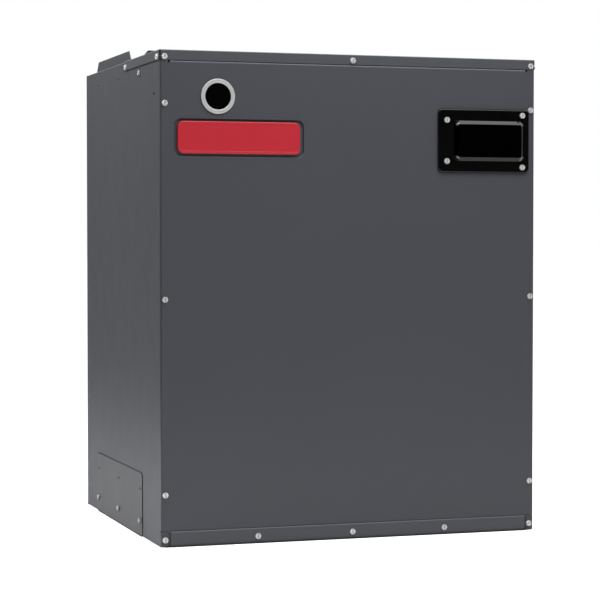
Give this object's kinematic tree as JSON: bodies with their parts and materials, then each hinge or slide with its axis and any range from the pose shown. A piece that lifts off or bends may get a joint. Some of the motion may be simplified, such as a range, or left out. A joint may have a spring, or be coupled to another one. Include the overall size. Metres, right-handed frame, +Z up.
{
  "type": "modular blower",
  "caption": "Floor-standing sheet-steel cabinet holding a direct-drive centrifugal fan, with an open return base, a top duct collar and a screwed front access panel.",
  "frame": {"origin": "middle of the cabinet's footprint, on the floor", "axes": "+Z up, front panel faces -Y, motor side is -X"},
  "size_m": [0.6306, 0.5458, 0.781],
  "materials": {
    "cabinet_paint": "satin slate-grey powder coat",
    "zinc_screws": "bright zinc plate",
    "galvanised_sheet": "galvanised, faint spangle",
    "foil_liner": "foil-faced glass fibre",
    "bezel_metal": "turned, satin",
    "port_glass": "clear",
    "badge_red": "plain red enamel",
    "cover_black": "gloss black moulding",
    "board_green": "green solder mask",
    "relay_black": "black moulding",
    "connector_white": "natural nylon",
    "core_steel": "varnished laminations",
    "winding": "enamelled copper",
    "motor_black": "satin black paint",
    "motor_casting": "cast",
    "bright_steel": "ground steel",
    "rubber_black": "matt",
    "bushing_black": "moulded nylon"
  },
  "bodies": {
    "cabinet": {"back_liner": "foil_liner", "back_panel": "cabinet_paint", "back_panel_screws": "zinc_screws", "blower_deck": "galvanised_sheet", "board_connectors": "connector_white", "board_relays": "relay_black", "board_standoffs": "connector_white", "bottom_rail": "cabinet_paint", "bottom_rail_screws": "zinc_screws", "compartment_screws": "zinc_screws", "control_board": "board_green", "control_pan": "galvanised_sheet", "deck_grommet": "rubber_black", "deck_supports": "galvanised_sheet", "heater_blank_plate": "galvanised_sheet", "housing_screws": "zinc_screws", "left_housing_plate": "galvanised_sheet", "left_liner": "foil_liner", "left_side_panel": "cabinet_paint", "left_tie_plate": "cabinet_paint", "motor_band": "galvanised_sheet", "motor_bearings": "bright_steel", "motor_bolts": "zinc_screws", "motor_control_module": "motor_casting", "motor_end_bell": "motor_casting", "motor_harness": "rubber_black", "motor_isolators": "rubber_black", "motor_mount_arms": "galvanised_sheet", "motor_shell": "motor_black", "motor_stator": "winding", "power_entry_bushing": "bushing_black", "power_terminal_block": "relay_black", "rail_stiffener": "cabinet_paint", "right_housing_plate": "galvanised_sheet", "right_liner": "foil_liner", "right_side_panel": "cabinet_paint", "right_tie_plate": "cabinet_paint", "scroll_wrap": "galvanised_sheet", "side_panel_screws": "zinc_screws", "tie_plate_screws": "zinc_screws", "top_cover": "cabinet_paint", "top_cover_screws": "zinc_screws", "top_header": "cabinet_paint", "transformer_coil": "winding", "transformer_core": "core_steel"},
    "access_panel": {"front_panel": "cabinet_paint", "front_liner": "foil_liner", "sight_port_bezel": "bezel_metal", "sight_port_glass": "port_glass", "badge_plate": "badge_red", "breaker_cover": "cover_black", "breaker_cover_screws": "zinc_screws", "front_panel_screws": "zinc_screws"},
    "wheel": {"wheel_blades": "galvanised_sheet", "wheel_end_rings": "galvanised_sheet", "wheel_disc": "galvanised_sheet", "wheel_hub": "galvanised_sheet", "wheel_set_screw": "zinc_screws", "motor_shaft": "bright_steel", "motor_rotor": "core_steel"}
  },
  "joints": [
    {"name": "wheel_spin", "type": "hinge", "parent": "cabinet", "child": "wheel", "pos_m": [0, -0.0319, 0.2887], "axis": [1, 0, 0], "continuous": true},
    {"name": "access_panel_removal", "type": "slide", "parent": "cabinet", "child": "access_panel", "axis": [0, -1, 0], "range_m": [0, 0.3]}
  ]
}
